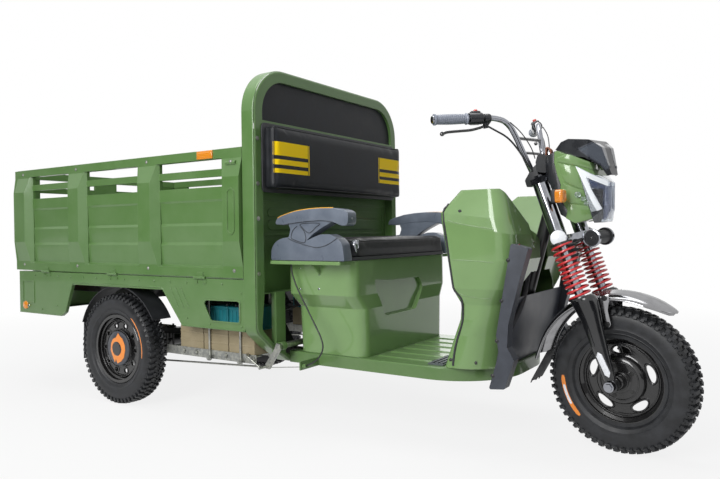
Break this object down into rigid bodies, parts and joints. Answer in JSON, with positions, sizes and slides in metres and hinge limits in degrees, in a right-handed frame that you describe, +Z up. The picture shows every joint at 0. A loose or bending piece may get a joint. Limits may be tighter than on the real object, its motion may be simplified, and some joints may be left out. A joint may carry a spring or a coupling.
{
  "type": "electric cargo tricycle",
  "caption": "Electric cargo tricycle: drop-side box behind a headboard, seat over a storage base, leg shield and a sprung front fork with a steered wheel.",
  "frame": {"origin": "on the ground below the middle of the vehicle's box", "axes": "+X forward, +Y to the rider's left, +Z up"},
  "size_m": [3.2936, 1.146, 1.4766],
  "materials": {
    "green_paint": "gloss enamel",
    "green_moulding": "gloss",
    "black_plastic": "moulded",
    "grey_plastic": "moulded",
    "black_leather": "grained",
    "black_paint": "gloss enamel",
    "tyre": "moulded",
    "grip_rubber": "ribbed",
    "chrome": "polished",
    "stainless": "brushed",
    "red_paint": "gloss",
    "teal_plastic": "moulded",
    "steel": "zinc plated",
    "lens": "clear",
    "orange_lens": "clear amber",
    "red_lens": "ribbed"
  },
  "bodies": {
    "chassis": {"arch_liners": "black_plastic", "armrests": "grey_plastic", "backrest_cushion": "black_leather", "battery_pack": "teal_plastic", "battery_tray": "steel", "brake_cable": "grip_rubber", "brake_linkage": "steel", "cargo_floor": "green_paint", "floor_mat": "grip_rubber", "foot_floor": "green_paint", "front_shroud": "black_plastic", "headboard": "green_paint", "headboard_panel": "black_leather", "leaf_springs": "black_paint", "leg_shield": "green_moulding", "main_frame": "black_paint", "rear_axle": "black_paint", "seat_base": "green_moulding", "skirts": "green_paint", "tail_lamps": "red_lens"},
    "side_panel_right": {"side_panel_right": "green_paint"},
    "side_panel_left": {"side_panel_left": "green_paint"},
    "tailgate": {"tailgate": "green_paint"},
    "seat_lid": {"seat_lid": "black_plastic", "seat_cushion": "black_leather"},
    "front_wheel": {"front_tyre": "tyre", "front_rim": "black_paint"},
    "rear_wheel_left": {"rear_tyre_left": "tyre", "rear_rim_left": "black_paint"},
    "rear_wheel_right": {"rear_tyre_right": "tyre", "rear_rim_right": "black_paint"},
    "steering": {"fork_crowns": "chrome", "fork_tubes": "chrome", "fork_springs": "red_paint", "fork_legs": "black_paint", "front_fender": "stainless", "handlebar": "chrome", "handlebar_grips": "grip_rubber", "hand_controls": "black_plastic", "headlamp_nacelle": "green_moulding", "headlamp_lens": "lens", "headlamp_visor": "black_plastic", "front_indicators": "orange_lens", "horns": "black_plastic", "console": "black_plastic"}
  },
  "joints": [
    {"name": "steering", "type": "hinge", "parent": "chassis", "child": "steering", "pos_m": [1.11878, 0, 0.9], "axis": [-0.3256, 0, 0.9455], "range_deg": [-30, 46]},
    {"name": "front_wheel_spin", "type": "hinge", "parent": "steering", "child": "front_wheel", "pos_m": [1.3846, -0.00612, 0.26186], "axis": [0.1316, 0.9903, 0.0453], "continuous": true},
    {"name": "rear_wheel_left_spin", "type": "hinge", "parent": "chassis", "child": "rear_wheel_left", "pos_m": [-0.78, 0.501, 0.262], "axis": [0, 1, 0], "continuous": true},
    {"name": "rear_wheel_right_spin", "type": "hinge", "parent": "chassis", "child": "rear_wheel_right", "pos_m": [-0.78, -0.501, 0.262], "axis": [0, 1, 0], "continuous": true},
    {"name": "side_panel_right_hinge", "type": "hinge", "parent": "chassis", "child": "side_panel_right", "pos_m": [-0.78, -0.556, 0.617], "axis": [1, 0, 0], "range_deg": [0, 168]},
    {"name": "side_panel_left_hinge", "type": "hinge", "parent": "chassis", "child": "side_panel_left", "pos_m": [-0.78, 0.556, 0.617], "axis": [-1, 0, 0], "range_deg": [0, 168]},
    {"name": "tailgate_hinge", "type": "hinge", "parent": "chassis", "child": "tailgate", "pos_m": [-1.633, 0, 0.617], "axis": [0, -1, 0], "range_deg": [0, 168]},
    {"name": "seat_lid_hinge", "type": "hinge", "parent": "chassis", "child": "seat_lid", "pos_m": [0.156, 0, 0.698], "axis": [0, -1, 0], "range_deg": [0, 60]}
  ]
}
